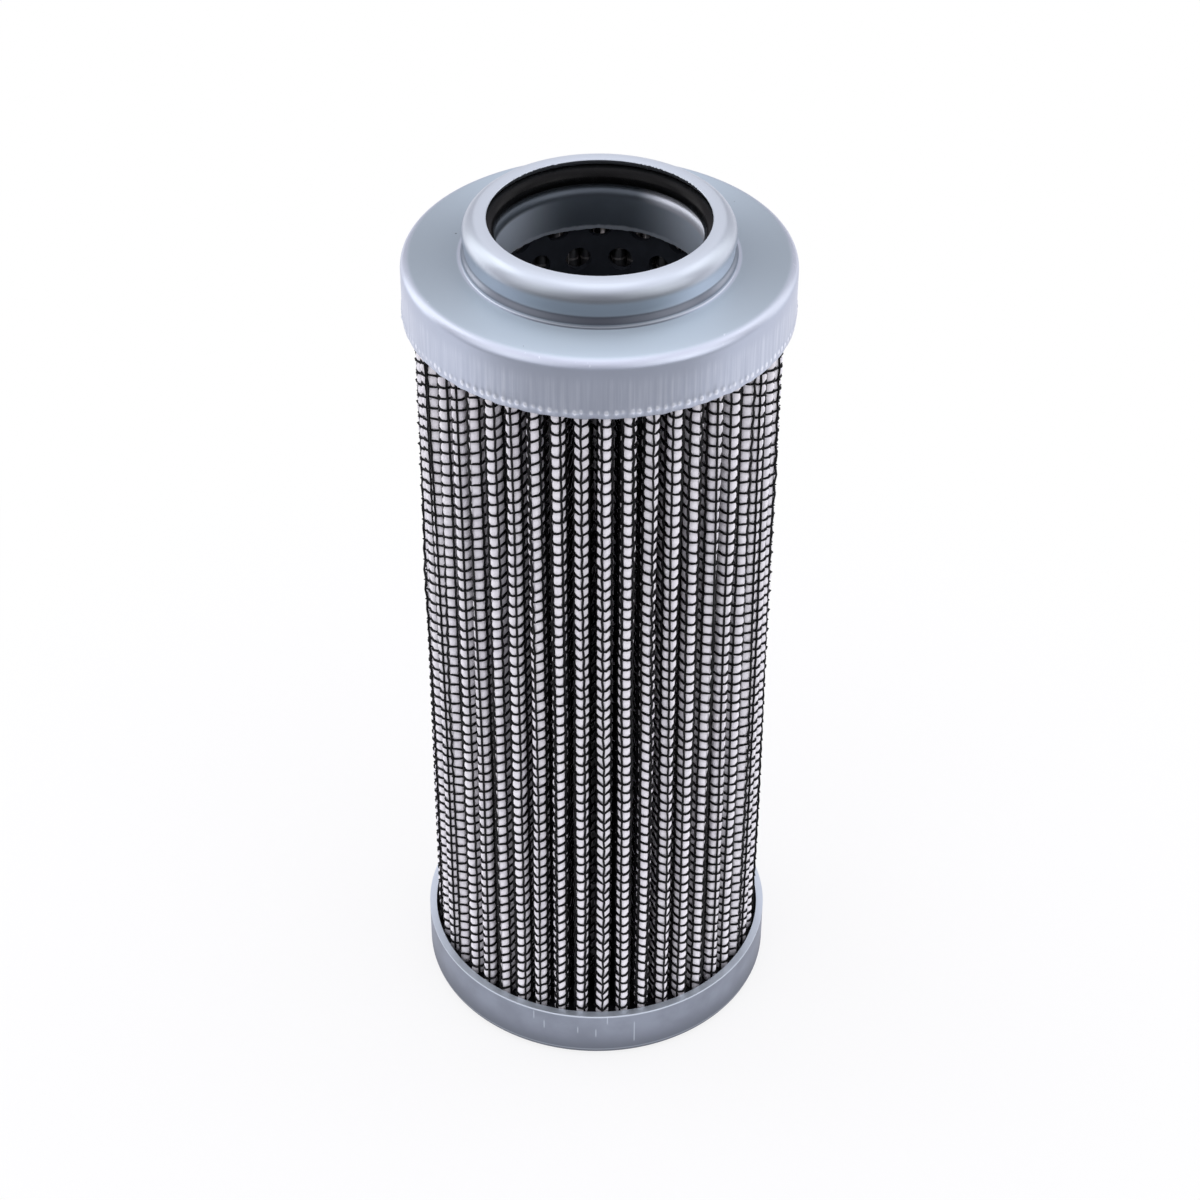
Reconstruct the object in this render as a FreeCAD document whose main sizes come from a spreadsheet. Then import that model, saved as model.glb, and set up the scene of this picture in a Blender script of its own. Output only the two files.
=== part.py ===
import FreeCAD, Part
import math
import os

import Sketcher

# Pleated hydraulic filter element, open at the top, standing on its closed end.
# Millimetres. The origin is at the middle of the bottom face and +Z runs up the axis.

doc = FreeCAD.newDocument("hydraulic_filter")
sheet = doc.addObject("Spreadsheet::Sheet", "sizes")

DRIVING = [
    ("cap_radius", 22.5),  # outside of both end caps
    ("total_height", 112.7),  # bottom face to the top of the neck
    ("cap_sheet", 0.9),  # steel sheet that both caps are drawn from
    ("cap_bend", 0.3),  # inside bend between a cap's flat and its skirt
    ("skirt_height", 7.35),  # top cap, flat to skirt edge
    ("rim_height", 7.2),  # bottom cap, base to rim
    ("neck_height", 4.8),  # flat to the top of the neck
    ("cap_ledge", 7.0),  # flat of the top cap, from the cap's edge to the neck
    ("neck_waist", 0.25),  # how much slimmer the neck is at its root
    ("neck_bend", 1.1),  # inside bend under the lip
    ("neck_root", 0.5),  # hollow between flat and neck
    ("lip_reach", 2.8),  # how far the lip reaches in from the outside of the neck
    ("lip_round", 0.35),  # softened edge of the mouth
    ("seal_section", 2.4),  # thickness of the seal ring
    ("seal_reach", 0.95),  # how far the seal ring stands in from the lip
    ("seal_squeeze", 0.2),  # seal ring inside the bore of the sleeve
    ("sleeve_wall", 0.7),
    ("sleeve_length", 5.45),  # flange top to lower edge
    ("sleeve_bend", 0.2),  # inside bend between flange and sleeve
    ("sleeve_play", 0.1),  # sleeve to core tube, and flange to neck
    ("core_wall", 0.7),
    ("hole_radius", 1.5),
    ("hole_spacing", 5.2),  # around the core tube, centre to centre
    ("hole_row_step", 17.4),  # from one row of holes to the next
    ("hole_row_drop", 4.4),  # sleeve edge to the first row
    ("mesh_wall", 0.18),  # wire mesh, outside and inside the media
    ("media_wall", 0.26),  # filter medium with its fleeces
    ("ply_gap", 0.02),  # between one ply and the next
    ("crest_slack", 0.14),  # half the opening left inside a fold at its crest
    ("flank_slack", 0.08),  # half the opening left inside a fold at its foot
    ("valley_radius", 0.2),  # outside bend at the bottom of a fold
    ("pack_play", 0.09),  # pleat pack to core tube
    ("crest_play", 0.2),  # pleat pack to the caps' inside
    ("wire_width", 0.26),  # mesh wire that runs up each crest
    ("wire_rise", 0.12),
    ("gap_inset", 0.04),  # mesh wire to the opening beside it
    ("gap_sill", 0.34),  # foot of an opening above the crest's centre line
    ("gap_margin", 1.1),  # cap edge to the end of an opening
    ("potting_bed", 2.5),  # adhesive between a cap and the ends of the folds
    ("potting_seat", 2.4),  # how deep the folds stand in the adhesive
    ("seat", 0.02),  # room around a bonded or trapped piece
]

for row, (alias, size) in enumerate(DRIVING, 1):
    sheet.set(f"A{row}", alias)
    sheet.set(f"B{row}", str(size))
    sheet.setAlias(f"B{row}", alias)
doc.recompute()


def named(text):
    """A sum of sheet values, such as "cap_radius - cap_sheet", as an expression."""
    words = [f"sizes.{w}" if w[0].isalpha() else w for w in text.split()]
    return "(" + " ".join(words) + ")"


def value(expression):
    return float(sheet.evalExpression(expression))


# Heights and radii that several pieces share
cap_bore = named("cap_radius - cap_sheet")
cap_corner = named("cap_bend + cap_sheet")
shoulder = named("total_height - neck_height")
under_shoulder = named("total_height - neck_height - cap_sheet")
skirt_edge = named("total_height - neck_height - skirt_height")
neck_radius = named("cap_radius - cap_ledge")
neck_foot = f"({neck_radius} - sizes.neck_waist)"
neck_foot_bore = f"({neck_foot} - sizes.cap_sheet)"
lip_radius = f"({neck_radius} - sizes.lip_reach)"
seal_radius = f"({lip_radius} - sizes.seal_reach)"
under_lip = named("total_height - cap_sheet")
flange_top = f"({under_lip} - sizes.seal_section - 2 * sizes.seat)"
under_flange = f"({flange_top} - sizes.sleeve_wall)"
sleeve_edge = f"({flange_top} - sizes.sleeve_length)"
sleeve_bore = f"({seal_radius} + sizes.seal_squeeze)"
sleeve_outside = f"({sleeve_bore} + sizes.sleeve_wall)"
core_bore = f"({sleeve_outside} + sizes.sleeve_play)"
core_outside = f"({core_bore} + sizes.core_wall)"
core_top = f"({under_flange} - sizes.seat)"
fold_foot = named("cap_sheet + potting_bed")
fold_head = f"({under_shoulder} - sizes.potting_bed)"
bottom_potting_top = f"({fold_foot} + sizes.potting_seat)"
top_potting_edge = f"({fold_head} - sizes.potting_seat)"


def plane_of(body, role):
    return next(f for f in body.Origin.OriginFeatures if f.Role == role)


def profile_sketch(body, name):
    sketch = body.newObject("Sketcher::SketchObject", name)
    sketch.AttachmentSupport = [(plane_of(body, "XZ_Plane"), "")]
    sketch.MapMode = "FlatFace"
    return sketch


def place_point(sketch, line, name, radius, height):
    """Ties a line's first point to its radius and height; None means on the axis or on the base."""
    for kind, axis, expression in (("DistanceX", -2, radius), ("DistanceY", -1, height)):
        if expression is None:
            sketch.addConstraint(Sketcher.Constraint("PointOnObject", line, 1, axis))
            continue
        size = value(expression)
        index = sketch.addConstraint(Sketcher.Constraint(kind, -1, 1, line, 1, size))
        label = f"{name}_{kind[-1].lower()}"
        sketch.renameConstraint(index, label)
        sketch.setExpression(f"Constraints.{label}", expression)


def turned_body(name, corners):
    """A body turned about Z from a closed outline of (radius, height) expressions."""
    body = doc.addObject("PartDesign::Body", name)
    body.Label = name
    sketch = profile_sketch(body, f"{name}_outline")
    points = [
        FreeCAD.Vector(value(r) if r else 0, value(z) if z else 0, 0) for r, z in corners
    ]
    for i, start in enumerate(points):
        sketch.addGeometry(Part.LineSegment(start, points[(i + 1) % len(points)]), False)
    for i in range(len(points)):
        following = (i + 1) % len(points)
        sketch.addConstraint(Sketcher.Constraint("Coincident", i, 2, following, 1))
    for i, (radius, height) in enumerate(corners):
        place_point(sketch, i, f"corner{i}", radius, height)
    turned = body.newObject("PartDesign::Revolution", f"{name}_turned")
    turned.Profile = sketch
    turned.ReferenceAxis = (sketch, ["V_Axis"])
    turned.Angle = 360
    doc.recompute()
    return body


def rounded(body, corner, radius):
    """Rounds the circular edge at a corner of a turned body."""
    base = body.Tip
    r, z = (value(expression) for expression in corner)
    edges = [
        f"Edge{i}"
        for i, edge in enumerate(base.Shape.Edges, 1)
        if isinstance(edge.Curve, Part.Circle)
        and abs(edge.Curve.Radius - r) < 1e-4
        and abs(edge.Curve.Center.z - z) < 1e-4
    ]
    fillet = body.newObject("PartDesign::Fillet", f"{body.Name}_round")
    fillet.Base = (base, edges)
    fillet.setExpression("Radius", radius)
    doc.recompute()


# Both end caps are drawn from sheet
def top_end_cap():
    outer_corner = (named("cap_radius"), shoulder)
    root = (neck_foot, shoulder)
    neck_corner = (neck_radius, named("total_height"))
    lip = (lip_radius, named("total_height"))
    neck_inner = (f"({neck_radius} - sizes.cap_sheet)", under_lip)
    root_inner = (neck_foot_bore, under_shoulder)
    inner_corner = (cap_bore, under_shoulder)
    body = turned_body(
        "top_end_cap",
        [
            (named("cap_radius"), skirt_edge),
            outer_corner,
            root,
            neck_corner,
            lip,
            (lip_radius, under_lip),
            neck_inner,
            root_inner,
            inner_corner,
            (cap_bore, skirt_edge),
        ],
    )
    rounded(body, outer_corner, cap_corner)
    rounded(body, root, named("neck_root"))
    rounded(body, neck_corner, named("neck_bend + cap_sheet"))
    rounded(body, lip, named("lip_round"))
    rounded(body, neck_inner, named("neck_bend"))
    rounded(body, root_inner, named("neck_root + cap_sheet"))
    rounded(body, inner_corner, named("cap_bend"))
    return body


def bottom_end_cap():
    body = turned_body(
        "bottom_end_cap",
        [
            (None, None),
            (named("cap_radius"), None),
            (named("cap_radius"), named("rim_height")),
            (cap_bore, named("rim_height")),
            (cap_bore, named("cap_sheet")),
            (None, named("cap_sheet")),
        ],
    )
    rounded(body, (named("cap_radius"), "0"), cap_corner)
    rounded(body, (cap_bore, named("cap_sheet")), named("cap_bend"))
    return body


# The neck holds the seal ring between its lip and the flange of the sleeve
def seal_ring():
    ring = doc.addObject("Part::Torus", "seal_ring")
    ring.Label = "seal_ring"
    ring.setExpression("Radius1", f"{seal_radius} + sizes.seal_section / 2")
    ring.setExpression("Radius2", "sizes.seal_section / 2")
    ring.setExpression("Placement.Base.z", f"{under_lip} - sizes.seat - sizes.seal_section / 2")
    return ring


def neck_sleeve():
    mouth = (sleeve_bore, flange_top)
    inner_bend = (sleeve_outside, under_flange)
    flange_rim = f"({neck_foot_bore} - sizes.sleeve_play)"
    body = turned_body(
        "neck_sleeve",
        [
            (sleeve_bore, sleeve_edge),
            mouth,
            (flange_rim, flange_top),
            (flange_rim, under_flange),
            inner_bend,
            (sleeve_outside, sleeve_edge),
        ],
    )
    rounded(body, mouth, named("sleeve_bend + sleeve_wall"))
    rounded(body, inner_bend, named("sleeve_bend"))
    return body


# The perforated core tube stands in the bottom adhesive and carries the sleeve's flange
def hole_sketch(body, name, turn, heights):
    sketch = profile_sketch(body, name)
    sketch.AttachmentOffset = FreeCAD.Placement(
        FreeCAD.Vector(), FreeCAD.Rotation(FreeCAD.Vector(0, 1, 0), turn)
    )
    for i, height in enumerate(heights):
        centre = FreeCAD.Vector(0, value(height), 0)
        up = FreeCAD.Vector(0, 0, 1)
        sketch.addGeometry(Part.Circle(centre, up, value("sizes.hole_radius")), False)
        sketch.addConstraint(Sketcher.Constraint("PointOnObject", i, 3, -2))
        for kind, where, expression in (
            ("Radius", (i,), "sizes.hole_radius"),
            ("DistanceY", (-1, 1, i, 3), height),
        ):
            index = sketch.addConstraint(Sketcher.Constraint(kind, *where, value(expression)))
            label = f"row{i}_{kind.lower()}"
            sketch.renameConstraint(index, label)
            sketch.setExpression(f"Constraints.{label}", expression)
    return sketch


def core_tube():
    body = turned_body(
        "core_tube",
        [
            (core_bore, fold_foot),
            (core_bore, core_top),
            (core_outside, core_top),
            (core_outside, fold_foot),
        ],
    )
    rounded(body, (core_bore, core_top), named("sleeve_bend"))
    around = int(2 * math.pi * value(core_outside) / value("sizes.hole_spacing"))
    first = f"({sleeve_edge} - sizes.hole_row_drop)"
    room = value(first) - value(bottom_potting_top) - 2 * value("sizes.hole_radius")
    rows = int(room / value("sizes.hole_row_step")) + 1
    heights = [f"({first} - {i} * sizes.hole_row_step)" for i in range(rows)]
    cuts = []
    for name, turn, chosen in (
        ("core_holes", 180 / around, heights[::2]),
        ("core_holes_between", 0, heights[1::2]),
    ):
        cut = body.newObject("PartDesign::Pocket", f"{name}_cut")
        cut.Profile = hole_sketch(body, name, turn, chosen)
        cut.Type = "ThroughAll"
        cuts.append(cut)
        doc.recompute()
    pattern = body.newObject("PartDesign::PolarPattern", "core_holes_around")
    pattern.Originals = cuts
    pattern.Axis = (plane_of(body, "Z_Axis"), [""])
    pattern.Angle = 360
    pattern.Occurrences = around
    body.Tip = pattern
    doc.recompute()
    return body


# The pleat pack: three plies folded together, laid out by their depth below the outer face
stack = named("mesh_wall + media_wall + mesh_wall + ply_gap + ply_gap")
crest_bend = value(f"{stack} + sizes.crest_slack")
valley_bend = value("sizes.valley_radius")
valley_ring = value(f"{core_outside} + sizes.pack_play + {stack} + sizes.valley_radius")
fold_width = 2 * value(f"{stack} + sizes.flank_slack + sizes.valley_radius")
fold_count = int(2 * math.pi * valley_ring / fold_width)
half_fold = math.pi / fold_count
crest_chords = 3
front_turn = 0.57  # crest nearest the front, in half folds round from it


def on_circle(centre, radius, angle):
    return centre[0] + radius * math.cos(angle), centre[1] + radius * math.sin(angle)


def flank_normal(crest_ring):
    """Direction square to a fold's flank, which touches the crest and the valley bends."""
    valley = on_circle((0, 0), valley_ring, half_fold)
    across, along = valley[0] - crest_ring, valley[1]
    reach = math.hypot(across, along)
    return math.atan2(along, across) - math.acos((crest_bend + valley_bend) / reach)


def crest_ring_radius():
    """Radius of the crests' centres, so that the mesh wire on a crest ends at the pack's edge."""
    edge = value(f"{cap_bore} - sizes.crest_play - sizes.wire_rise")
    crest_ring = edge - crest_bend
    for _ in range(8):
        flat = crest_bend * math.cos(flank_normal(crest_ring) / crest_chords)
        crest_ring = edge - flat
    return crest_ring


crest_ring = crest_ring_radius()
flank_turn = flank_normal(crest_ring)


def wire_ridge(depth, width):
    """Corners of the mesh wire that stands on a crest, from one side to the other."""
    flat = crest_ring + (crest_bend - depth) * math.cos(flank_turn / crest_chords)
    top = flat + value("sizes.wire_rise")
    return [(flat, -width / 2), (top, -width / 2), (top, width / 2), (flat, width / 2)]


def fold_outline(depth, ridge_width=0):
    """The closed star outline of the pack at a depth below its outer face."""
    crest = [
        on_circle((crest_ring, 0), crest_bend - depth, flank_turn * (2 * i / crest_chords - 1))
        for i in range(crest_chords + 1)
    ]
    if ridge_width:
        middle = len(crest) // 2
        crest[middle:middle] = wire_ridge(depth, ridge_width)
    valley_centre = on_circle((0, 0), valley_ring, half_fold)
    turns = (flank_turn, half_fold, 2 * half_fold - flank_turn)
    valley = [on_circle(valley_centre, valley_bend + depth, t + math.pi) for t in turns]
    points = []
    for fold in range(fold_count):
        turn = FreeCAD.Rotation(FreeCAD.Vector(0, 0, 1), math.degrees(2 * half_fold * fold))
        points += [turn.multVec(FreeCAD.Vector(x, y, 0)) for x, y in crest + valley]
    return Part.makePolygon(points + points[:1])


def placed_feature(name, shape, height):
    feature = doc.addObject("Part::Feature", name)
    feature.Label = name
    feature.Shape = shape
    feature.Placement = FreeCAD.Placement(
        FreeCAD.Vector(0, 0, height), FreeCAD.Rotation(FreeCAD.Vector(0, 0, 1), first_crest)
    )
    return feature


first_crest = -90 + front_turn * math.degrees(half_fold)
fold_height = value(f"{fold_head} - {fold_foot}")
mesh_depth = value("sizes.mesh_wall")
media_depth = mesh_depth + value("sizes.ply_gap")
media_inside = media_depth + value("sizes.media_wall")
inner_depth = media_inside + value("sizes.ply_gap")
inner_inside = value(stack)


def folded_ply(outer, inner):
    ring = Part.makeFace([outer, inner], "Part::FaceMakerBullseye")
    return ring.extrude(FreeCAD.Vector(0, 0, fold_height))


def mesh_openings():
    """Two tall openings on each crest, one on each side of the wire."""
    inset = value("sizes.wire_width / 2 + sizes.gap_inset")
    sill = value("sizes.gap_sill")
    slope = math.tan(flank_turn * (crest_chords - 1) / crest_chords)
    flat = crest_bend * math.cos(flank_turn / crest_chords)
    edge = crest_bend * math.sin(flank_turn / crest_chords)
    reach = edge + (flat - sill) / slope
    low = value(f"sizes.rim_height + sizes.gap_margin - {fold_foot}")
    high = value(f"{skirt_edge} - sizes.gap_margin - {fold_foot}")
    size = (crest_bend, reach - inset, high - low)
    openings = []
    for side in (inset, -reach):
        corner = FreeCAD.Vector(crest_ring + sill, side, low)
        opening = Part.makeBox(*size, corner)
        for fold in range(fold_count):
            turned = opening.copy()
            turned.rotate(FreeCAD.Vector(), FreeCAD.Vector(0, 0, 1), math.degrees(2 * half_fold * fold))
            openings.append(turned)
    return openings


def outer_mesh():
    outer = fold_outline(0, value("sizes.wire_width"))
    wall = folded_ply(outer, fold_outline(mesh_depth))
    return placed_feature("outer_mesh", wall.cut(mesh_openings()), value(fold_foot))


def filter_media():
    ply = folded_ply(fold_outline(media_depth), fold_outline(media_inside))
    return placed_feature("filter_media", ply, value(fold_foot))


def inner_mesh():
    ply = folded_ply(fold_outline(inner_depth), fold_outline(inner_inside))
    return placed_feature("inner_mesh", ply, value(fold_foot))


# The folds stand in a bed of cast adhesive in each cap
def fold_socket(name, height):
    seat = value("sizes.seat")
    outline = fold_outline(-seat, value("sizes.wire_width") + 2 * seat)
    depth = value("sizes.potting_seat")
    solid = Part.Face(outline).extrude(FreeCAD.Vector(0, 0, depth))
    return placed_feature(name, solid, height)


def potting(name, blank, socket):
    cut = doc.addObject("Part::Cut", name)
    cut.Label = name
    cut.Base = blank
    cut.Tool = socket
    return cut


def bottom_potting():
    rim = f"({cap_bore} - sizes.seat)"
    blank = turned_body(
        "bottom_potting_blank",
        [
            (None, named("cap_sheet")),
            (f"({rim} - sizes.cap_bend)", named("cap_sheet")),
            (rim, named("cap_sheet + cap_bend")),
            (rim, bottom_potting_top),
            (None, bottom_potting_top),
        ],
    )
    return potting("bottom_potting", blank, fold_socket("bottom_socket", value(fold_foot)))


def top_potting():
    bore = f"({core_outside} + sizes.seat)"
    rim = f"({cap_bore} - sizes.seat)"
    collar = f"({neck_foot_bore} - sizes.sleeve_play)"
    blank = turned_body(
        "top_potting_blank",
        [
            (bore, top_potting_edge),
            (rim, top_potting_edge),
            (rim, f"({under_shoulder} - sizes.cap_bend)"),
            (f"({rim} - sizes.cap_bend)", under_shoulder),
            (collar, under_shoulder),
            (collar, core_top),
            (bore, core_top),
        ],
    )
    socket = fold_socket("top_socket", value(top_potting_edge))
    return potting("top_potting", blank, socket)


pieces = [
    top_end_cap(),
    seal_ring(),
    neck_sleeve(),
    core_tube(),
    inner_mesh(),
    filter_media(),
    outer_mesh(),
    top_potting(),
    bottom_potting(),
    bottom_end_cap(),
]
doc.recompute()

failed = [o.Label for o in doc.Objects if "Invalid" in o.State or "Error" in o.State]
if failed:
    raise RuntimeError(f"these objects failed: {failed}")
for piece in pieces:
    shape = piece.Shape
    if shape.isNull() or not shape.isValid() or not shape.Solids:
        raise RuntimeError(f"{piece.Label} has no valid solid")

os.makedirs("parts", exist_ok=True)
for piece in pieces:
    piece.Shape.exportStep(f"parts/{piece.Label}.step")
    print(f"{piece.Label}: {len(piece.Shape.Solids)} solid, {piece.Shape.Volume:.1f} mm3")
print(f"{fold_count} folds")
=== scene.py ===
import math
import bpy
import numpy as np
from mathutils import Matrix, Vector


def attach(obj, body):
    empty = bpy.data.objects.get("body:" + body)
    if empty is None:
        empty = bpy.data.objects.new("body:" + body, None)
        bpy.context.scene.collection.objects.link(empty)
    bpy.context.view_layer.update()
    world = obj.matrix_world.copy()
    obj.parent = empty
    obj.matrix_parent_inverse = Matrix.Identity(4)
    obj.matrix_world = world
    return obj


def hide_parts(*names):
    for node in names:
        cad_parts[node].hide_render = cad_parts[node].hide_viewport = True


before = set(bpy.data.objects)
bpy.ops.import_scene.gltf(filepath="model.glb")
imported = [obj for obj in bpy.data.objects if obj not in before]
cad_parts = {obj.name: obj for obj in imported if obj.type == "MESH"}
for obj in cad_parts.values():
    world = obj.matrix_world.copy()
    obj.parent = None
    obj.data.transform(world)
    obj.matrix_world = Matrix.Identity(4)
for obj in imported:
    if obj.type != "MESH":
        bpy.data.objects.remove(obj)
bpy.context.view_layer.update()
mm = 0.001
rng = np.random.default_rng(7)
print("frame loaded")


# Camera: stands in front, looks down at the element and a little past its middle
shot = {
    "lens": 82.07,
    "sensor": 36,
    "clip": (0.01, 20),
    "distance": 0.3450,
    "elevation": math.radians(39.586),
    "aimHeight": 0.04856,
    "pitchUp": math.radians(1.228),
    "yawRight": math.radians(0.0566),
    "roll": math.radians(0.303),
}


def addCamera():
    data = bpy.data.cameras.new("camera")
    data.lens = shot["lens"]
    data.sensor_width = shot["sensor"]
    data.clip_start, data.clip_end = shot["clip"]
    camera = bpy.data.objects.new("camera", data)
    bpy.context.collection.objects.link(camera)
    down = shot["elevation"] - shot["pitchUp"]
    back = shot["distance"] * math.cos(shot["elevation"])
    up = shot["distance"] * math.sin(shot["elevation"]) + shot["aimHeight"]
    turn = (Matrix.Rotation(-shot["yawRight"], 4, "Z")
            @ Matrix.Rotation(math.pi / 2 - down, 4, "X")
            @ Matrix.Rotation(shot["roll"], 4, "Z"))
    camera.matrix_world = Matrix.Translation((0, -back, up)) @ turn
    bpy.context.scene.camera = camera


# Shader maths: an expression on sockets adds its Math nodes
class Socket:
    def __init__(self, finish, out):
        self.finish, self.out = finish, out

    def __add__(self, other):
        return self.finish.maths("ADD", self, other)

    def __sub__(self, other):
        return self.finish.maths("SUBTRACT", self, other)

    def __rsub__(self, other):
        return self.finish.maths("SUBTRACT", other, self)

    def __mul__(self, other):
        return self.finish.maths("MULTIPLY", self, other)

    def __truediv__(self, other):
        return self.finish.maths("DIVIDE", self, other)

    def __pow__(self, other):
        return self.finish.maths("POWER", self, other)

    __radd__ = __add__


class Finish:
    def __init__(self, owner):
        owner.use_nodes = True
        self.owner, self.tree = owner, owner.node_tree
        self.tree.nodes.clear()

    def node(self, kind, settings=None, *values, output=0, **named):
        made = self.tree.nodes.new(kind)
        for key, setting in (settings or {}).items():
            setattr(made, key, setting)
        for socket, value in [*enumerate(values), *named.items()]:
            self.feed(made.inputs[socket], value)
        return Socket(self, made.outputs[output]) if made.outputs else None

    def feed(self, socket, value):
        if isinstance(value, Socket):
            self.tree.links.new(value.out, socket)
        else:
            socket.default_value = value

    def maths(self, operation, *values):
        return self.node("ShaderNodeMath", {"operation": operation}, *values)

    def place(self, kind="Object"):
        return self.node("ShaderNodeTexCoord", output=kind)

    def split(self, vector):
        made = self.tree.nodes.new("ShaderNodeSeparateXYZ")
        self.feed(made.inputs[0], vector)
        return [Socket(self, out) for out in made.outputs]

    def join(self, x, y, z):
        return self.node("ShaderNodeCombineXYZ", None, x, y, z)

    def noise(self, vector, scale, detail=2.0, rough=0.5):
        return self.node("ShaderNodeTexNoise", None, Vector=vector, Scale=scale,
                         Detail=detail, Roughness=rough)

    def spread(self, value, low, high, toLow=0.0, toHigh=1.0):
        return self.node("ShaderNodeMapRange", {"interpolation_type": "SMOOTHSTEP"},
                         value, low, high, toLow, toHigh)

    # Share of a zone; a limit is an axis, where the zone begins and where it is full, in mm
    def zone(self, limits, **places):
        share = 1.0
        for axis, begins, full in limits:
            share = self.spread(places[axis], begins * mm, full * mm) * share
        return share

    def mix(self, factor, one, other):
        made = self.tree.nodes.new("ShaderNodeMix")
        made.data_type = "RGBA"
        self.feed(made.inputs[0], factor)
        self.feed(made.inputs[6], one)
        self.feed(made.inputs[7], other)
        return Socket(self, made.outputs[2])

    def bump(self, height, strength, distance, normal=None):
        extra = {"Normal": normal} if normal else {}
        return self.node("ShaderNodeBump", None, Strength=strength, Distance=distance,
                         Height=height, **extra)

    def surface(self, **values):
        shader = self.node("ShaderNodeBsdfPrincipled", None, **{
            key.replace("_", " "): value for key, value in values.items()})
        self.node("ShaderNodeOutputMaterial", None, Surface=shader)
        return self.owner


def finish(name):
    return Finish(bpy.data.materials.new(name))


def shade(colour, level=1.0):
    return tuple(level * c for c in colour) + (1,)


def grey(level):
    return shade((1, 1, 1), level)


# Studio: soft lamps over and all round the element, and a white sheet that gives way to a
# darker table before it, so that less light comes up from the side of the camera
studio = {
    "floorSize": 12.0,
    "sheet": 0.90,
    "sheetFront": (-0.06, -0.13),  # where the sheet gives way to the darker table
    "table": 0.42,
    "glow": 0.80,  # share of the sheet that shows as plain white, beside the element
    "glowGlossy": 0.15,
    "glowFar": (0.04, 0.14),  # from here on the background is plain white
    "fill": 0.60,
    "fillFront": 0.64,
    "fillAbove": 1.05,
    "fillTurns": (0.25, -0.65),  # from the side to the front
    "fillRises": (0.45, 0.85),  # from the low sky to the sky above
    "fillTint": (1.0, 0.975, 1.08),
    "lampSize": 0.45,
    "lampDistance": 0.75,
    "lampAim": 0.06,
    "lamps": [
        # name, degrees round to the right of the camera, degrees up, brightness
        ("overhead", 0, 90, 0.30),
        ("rightHigh", 60, 35, 0.45),
        ("leftHigh", -60, 35, 0.40),
        ("rightFront", 60, 8, 0.60),
        ("leftFront", -60, 8, 0.36),
        ("frontRight", 35, 20, 0.55),
        ("frontLeft", -35, 20, 0.40),
        ("rightRear", 115, 40, 0.60),
        ("leftRear", -115, 40, 0.80),
        ("rightLow", 115, 8, 0.64),
        ("leftLow", -115, 8, 1.00),
    ],
}


def addLamp(name, around, up, brightness):
    around, up = math.radians(around), math.radians(up)
    aim = Vector((0, 0, studio["lampAim"]))
    away = Vector((math.sin(around) * math.cos(up), -math.cos(around) * math.cos(up),
                   math.sin(up)))
    bpy.ops.object.light_add(type="AREA", location=aim + away * studio["lampDistance"])
    lamp = bpy.context.object
    lamp.name = name
    lamp.data.shape = "SQUARE"
    lamp.data.size = studio["lampSize"]
    lamp.data.energy = brightness * math.pi * studio["lampSize"] ** 2
    lamp.rotation_euler = (-away).to_track_quat("-Z", "Y").to_euler()


def addSky():
    world = bpy.data.worlds.new("studio")
    bpy.context.scene.world = world
    f = Finish(world)
    _, y, z = f.split(f.place("Generated"))
    seen = f.node("ShaderNodeLightPath", output="Is Camera Ray")
    level = f.spread(y, *studio["fillTurns"], studio["fill"], studio["fillFront"])
    level = f.spread(z, *studio["fillRises"], level, studio["fillAbove"])
    colour = f.mix(seen, shade(studio["fillTint"]), grey(1.0))
    shader = f.node("ShaderNodeBackground", None, Color=colour,
                    Strength=level + (1 - level) * seen)
    f.node("ShaderNodeOutputWorld", None, Surface=shader)


def addFloor():
    bpy.ops.mesh.primitive_plane_add(size=studio["floorSize"], location=(0, 0, 0))
    floor = bpy.context.object
    floor.name = "floor"
    f = finish("floorPaper")
    x, y, _ = f.split(f.place())
    seen, glossy, through = [f.node("ShaderNodeLightPath", output=f"Is {kind} Ray")
                             for kind in ("Camera", "Glossy", "Transmission")]
    front = f.spread(y, *studio["sheetFront"])
    far = f.spread((x * x + y * y) ** 0.5, *studio["glowFar"])
    paper = f.mix(front, grey(studio["sheet"]), grey(studio["table"]))
    sheet = f.node("ShaderNodeBsdfDiffuse", None, Color=paper)
    white = 1 - front * (1 - seen) * (1 - studio["table"])
    glow = f.node("ShaderNodeEmission", None, Color=grey(1.0), Strength=white)
    share = (glossy + through) * studio["glowGlossy"]
    share = share + seen * (studio["glow"] + far * (1 - studio["glow"]))
    shown = f.node("ShaderNodeMixShader", None, share, sheet, glow)
    f.node("ShaderNodeOutputMaterial", None, Surface=shown)
    floor.data.materials.append(f.owner)


def finishPiece(piece, material, slot, *nodes):
    piece.data.materials.clear()
    piece.data.materials.append(material)
    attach(piece, "root")
    if nodes:
        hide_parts(*nodes)


def newMesh(name, points, faces):
    mesh = bpy.data.meshes.new(name)
    mesh.from_pydata(points, [], faces)
    mesh.polygons.foreach_set("use_smooth", [True] * len(mesh.polygons))
    mesh.update()
    piece = bpy.data.objects.new(name, mesh)
    bpy.context.collection.objects.link(piece)
    return piece


def takeUp(piece):
    bpy.ops.object.select_all(action="DESELECT")
    piece.select_set(True)
    bpy.context.view_layer.objects.active = piece


def arc(centre, radius, start, end, parts):
    angles = [math.radians(start + (end - start) * i / parts) for i in range(parts + 1)]
    return [(centre[0] + radius * math.cos(a), centre[1] + radius * math.sin(a))
            for a in angles]


turned = {
    "weld": 1e-7,
    "smoothUnder": math.radians(45),
}


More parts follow.
